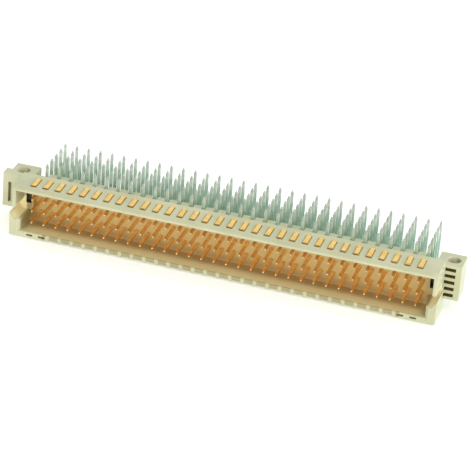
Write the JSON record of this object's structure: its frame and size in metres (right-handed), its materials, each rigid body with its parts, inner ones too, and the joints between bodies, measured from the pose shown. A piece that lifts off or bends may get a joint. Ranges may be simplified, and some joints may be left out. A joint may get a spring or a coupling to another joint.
{
  "type": "right-angle male board connector",
  "caption": "Right-angle male board connector: open shroud with pins inside and flat pads outside, screw ears at both ends, and rows of solder tails bent up behind the body.",
  "frame": {"origin": "midway between the two screw holes, on the face that seats on the board", "axes": "+X along the connector, +Y away from the mating side, +Z out of the seating face, along the solder tails"},
  "size_m": [0.0943, 0.0194, 0.0127],
  "materials": {
    "housing_plastic": "moulded glass-filled plastic, satin",
    "outer_contacts": "gold-plated pads with tinned tails",
    "inner_pins": "gold-plated pins with tinned tails"
  },
  "bodies": {
    "root": {"housing": "housing_plastic", "contacts_z_1": "outer_contacts", "contacts_z_2": "outer_contacts", "contacts_z_3": "outer_contacts", "contacts_z_4": "outer_contacts", "contacts_a_1": "inner_pins", "contacts_a_2": "inner_pins", "contacts_a_3": "inner_pins", "contacts_a_4": "inner_pins", "contacts_b_1": "inner_pins", "contacts_b_2": "inner_pins", "contacts_b_3": "inner_pins", "contacts_b_4": "inner_pins", "contacts_c_1": "inner_pins", "contacts_c_2": "inner_pins", "contacts_c_3": "inner_pins", "contacts_c_4": "inner_pins", "contacts_d_1": "outer_contacts", "contacts_d_2": "outer_contacts", "contacts_d_3": "outer_contacts", "contacts_d_4": "outer_contacts", "leading_contacts_d_left": "outer_contacts", "leading_contacts_d_right": "outer_contacts"}
  },
  "joints": []
}
